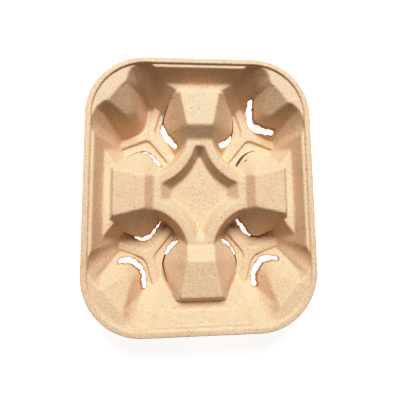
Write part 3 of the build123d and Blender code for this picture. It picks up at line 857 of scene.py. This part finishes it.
def pulp_material(look):
    """Moulded pulp: wet fibre sucked onto a mesh mould and dried. Matt, with clumps of paler and darker
    fibre, a few dark specks, faint marks of the mesh, browner torn edges, and painted shade along the closed
    cracks."""
    material = bpy.data.materials.new("moulded_pulp")
    material.use_nodes = True
    tree = material.node_tree
    tree.nodes.clear()
    place = add(tree, "ShaderNodeTexCoord").outputs["Object"]

    # Clumps of fibre, and broad drifts where the pulp settled paler or darker. Real clumps are about half a
    # millimetre across, too fine to show, so they are drawn about twice as coarse.
    clumps = add(tree, "ShaderNodeTexNoise", Vector=place, Scale=1 / look.fibre_size,
                 Detail=3.0, Roughness=0.65)
    broad = add(tree, "ShaderNodeTexNoise", Vector=place, Scale=1 / 0.014, Detail=3.0, Roughness=0.6)
    spread = add(tree, "ShaderNodeMapRange", Value=clumps.outputs["Fac"], From_Min=0.36, From_Max=0.66)
    fibre = add(tree, "ShaderNodeMix", COLOURS, i0=spread.outputs[0],
                i6=linear(look.dark), i7=linear(look.pale))
    share = add(tree, "ShaderNodeMapRange", Value=broad.outputs["Fac"],
                From_Min=0.35, From_Max=0.65, To_Min=0.25, To_Max=0.6)
    body = add(tree, "ShaderNodeMix", COLOURS, i0=share.outputs[0],
               i6=fibre.outputs[2], i7=linear(look.base))

    # Dark specks: the middle of a few of the cells of a lattice. They too are drawn coarser than real.
    cells = add(tree, "ShaderNodeTexVoronoi", Vector=place, Scale=1 / 0.0035, Randomness=1.0)
    chance = add(tree, "ShaderNodeSeparateColor", Color=cells.outputs["Color"])
    wanted = add(tree, "ShaderNodeMapRange", Value=chance.outputs[0], From_Min=0.86, From_Max=0.9)
    middle = add(tree, "ShaderNodeMapRange", Value=cells.outputs["Distance"],
                 From_Min=0.1, From_Max=0.2, To_Min=0.75, To_Max=0.0)
    specks = add(tree, "ShaderNodeMath", {"operation": "MULTIPLY"},
                 i0=wanted.outputs[0], i1=middle.outputs[0])
    speckled = add(tree, "ShaderNodeMix", COLOURS, i0=specks.outputs[0],
                   i6=body.outputs[2], i7=linear(look.fleck))

    # Torn edges of the slots: browner over the last millimetre.
    slot = add(tree, "ShaderNodeAttribute", {"attribute_name": "slot_distance"})
    torn = add(tree, "ShaderNodeMapRange", Value=slot.outputs["Fac"],
               From_Min=0.1, From_Max=1.2, To_Min=0.7, To_Max=0.0)
    edged = add(tree, "ShaderNodeMix", COLOURS, i0=torn.outputs[0],
                i6=speckled.outputs[2], i7=linear(look.torn))

    # Cracks: painted shade, dark where the distance across the line is less than the half width, in place of
    # the shade down in the gap.
    aside = add(tree, "ShaderNodeAttribute", {"attribute_name": "crack_aside"})
    half = add(tree, "ShaderNodeAttribute", {"attribute_name": "crack_half"})
    across = add(tree, "ShaderNodeMath", {"operation": "ABSOLUTE"}, i0=aside.outputs["Fac"])
    inside = add(tree, "ShaderNodeMath", {"operation": "SUBTRACT"},
                 i0=half.outputs["Fac"], i1=across.outputs[0])
    gap = add(tree, "ShaderNodeMapRange", Value=inside.outputs[0],
              From_Min=-0.25, From_Max=0.15, To_Min=0.0, To_Max=0.95)
    crack_shaded = add(tree, "ShaderNodeMix", COLOURS, i0=gap.outputs[0],
                  i6=edged.outputs[2], i7=linear(look.crack_shade))

    # Relief: felted clumps of fibre, and coarser hollows left where the wet pulp was drawn onto the mesh.
    marks = add(tree, "ShaderNodeTexNoise", Vector=place, Scale=1 / 0.0024,
                Detail=2.0, Roughness=0.5, Distortion=0.6)
    relief = add(tree, "ShaderNodeMath", {"operation": "MULTIPLY_ADD"},
                 i0=clumps.outputs["Fac"], i1=0.45, i2=marks.outputs["Fac"])
    bump = add(tree, "ShaderNodeBump", Height=relief.outputs[0], Strength=0.55, Distance=look.relief)
    shader = add(tree, "ShaderNodeBsdfPrincipled", Base_Color=crack_shaded.outputs[2], Roughness=look.roughness,
                 IOR=1.45, Specular_IOR_Level=0.6, Normal=bump.outputs[0])
    add(tree, "ShaderNodeOutputMaterial", Surface=shader.outputs[0])
    return material


def floor_material(look):
    """Opal acrylic top of a light table: pale, smooth and lit from below."""
    material = bpy.data.materials.new("opal_acrylic")
    material.use_nodes = True
    shader = material.node_tree.nodes["Principled BSDF"]
    shader.inputs["Base Color"].default_value = linear(look.floor)
    shader.inputs["Roughness"].default_value = 0.6
    shader.inputs["Emission Color"].default_value = linear(look.floor)
    shader.inputs["Emission Strength"].default_value = look.glow
    return material


# ================================ stage ================================

# The camera's response: darks a little deeper and brights held back before they burn out.
FILM_CURVE = (
    (0.07, 0.045), (0.17, 0.135), (0.36, 0.325), (0.57, 0.55), (0.79, 0.77), (1.0, 0.91), (1.3, 1.0),
)
FLOOR_HALF = 1.5
FLOOR_Z = -0.0002    # a little under the tray's feet, so that the two surfaces never coincide
KEY_SIZE = 1.0
KEY_AWAY = 2.2
KEY_TILT = -37.0
CAMERA_PLACE = (-0.0174, -0.0235, 0.3418)
CAMERA_TURN = (7.757, -5.308, -0.891)
CAMERA_SHIFT = (-0.0365, -0.0765)


def film_curve(view):
    """Plain sRGB view with the film curve applied to each channel, out to its last point."""
    view.view_transform = "Standard"
    view.use_curve_mapping = True
    mapping = view.curve_mapping
    white = FILM_CURVE[-1][0]
    mapping.clip_max_x = white
    combined = mapping.curves[3]
    combined.points[1].location = FILM_CURVE[-1]
    for point in FILM_CURVE[:-1]:
        combined.points.new(*point)
    mapping.update()


# ================================ operators ================================


class BuildTray(bpy.types.Operator):
    """Build the moulded pulp tray and give it its finish"""

    bl_idname = "cup_carrier.tray"
    bl_label = "Carrier tray"

    def execute(self, context):
        scene = context.scene
        tray = bpy.data.objects.new("pulp_tray", build_tray(scene.tray_sizes))
        scene.collection.objects.link(tray)
        thin_out(tray, scene.tray_sizes)
        tray.data.materials.append(pulp_material(scene.pulp_finish))
        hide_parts(NODE)
        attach(tray, "root")
        return {"FINISHED"}


class BuildStudio(bpy.types.Operator):
    """Lay the pale floor, hang the soft light and set the camera above the tray"""

    bl_idname = "cup_carrier.studio"
    bl_label = "Studio"

    def execute(self, context):
        scene = context.scene
        look = scene.studio_look
        floor = bpy.data.meshes.new("floor")
        corners = [(x * FLOOR_HALF, y * FLOOR_HALF, FLOOR_Z) for x, y in ((-1, -1), (1, -1), (1, 1), (-1, 1))]
        floor.from_pydata(corners, [], [(0, 1, 2, 3)])
        floor.materials.append(floor_material(look))
        floor = bpy.data.objects.new("floor", floor)
        scene.collection.objects.link(floor)

        key = bpy.data.lights.new("key", "AREA")
        key.shape = "DISK"
        key.size = KEY_SIZE
        key.energy = look.key
        key.color = linear("FFFCF8")[:3]
        lamp = bpy.data.objects.new("key", key)
        tilt = Euler((math.radians(KEY_TILT), 0, 0))
        lamp.matrix_world = tilt.to_matrix().to_4x4() @ Matrix.Translation((0, 0, KEY_AWAY))
        scene.collection.objects.link(lamp)

        world = bpy.data.worlds.new("studio")
        world.use_nodes = True
        sky = world.node_tree.nodes["Background"]
        sky.inputs["Color"].default_value = linear("FFFFFF")
        sky.inputs["Strength"].default_value = look.fill
        scene.world = world

        lens = bpy.data.cameras.new("camera")
        lens.lens = look.lens
        lens.sensor_width = 36.0
        lens.shift_x, lens.shift_y = CAMERA_SHIFT
        camera = bpy.data.objects.new("camera", lens)
        camera.location = CAMERA_PLACE
        camera.rotation_euler = [math.radians(angle) for angle in CAMERA_TURN]
        scene.collection.objects.link(camera)
        scene.camera = camera
        film_curve(scene.view_settings)
        return {"FINISHED"}


class CarrierPanel(bpy.types.Panel):
    """Sizes, finish and studio of the cup carrier"""

    bl_idname = "VIEW3D_PT_cup_carrier"
    bl_label = "Cup carrier"
    bl_space_type = "VIEW_3D"
    bl_region_type = "UI"
    bl_category = "Cup carrier"

    def draw(self, context):
        scene = context.scene
        for group, operator in (
            (scene.tray_sizes, BuildTray.bl_idname),
            (scene.pulp_finish, BuildTray.bl_idname),
            (scene.studio_look, BuildStudio.bl_idname),
        ):
            box = self.layout.box()
            for name in group.bl_rna.properties.keys():
                if name not in ("rna_type", "name"):
                    box.prop(group, name)
            box.operator(operator)


GROUPS = {"tray_sizes": TraySizes, "pulp_finish": PulpFinish, "studio_look": StudioLook}
CLASSES = (*GROUPS.values(), BuildTray, BuildStudio, CarrierPanel)


def register():
    for each in CLASSES:
        bpy.utils.register_class(each)
    for name, group in GROUPS.items():
        setattr(bpy.types.Scene, name, bpy.props.PointerProperty(type=group))


def unregister():
    for name in GROUPS:
        delattr(bpy.types.Scene, name)
    for each in reversed(CLASSES):
        bpy.utils.unregister_class(each)


def main():
    register()
    bpy.ops.cup_carrier.tray()
    bpy.ops.cup_carrier.studio()
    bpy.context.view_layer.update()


if __name__ == "__main__":
    main()
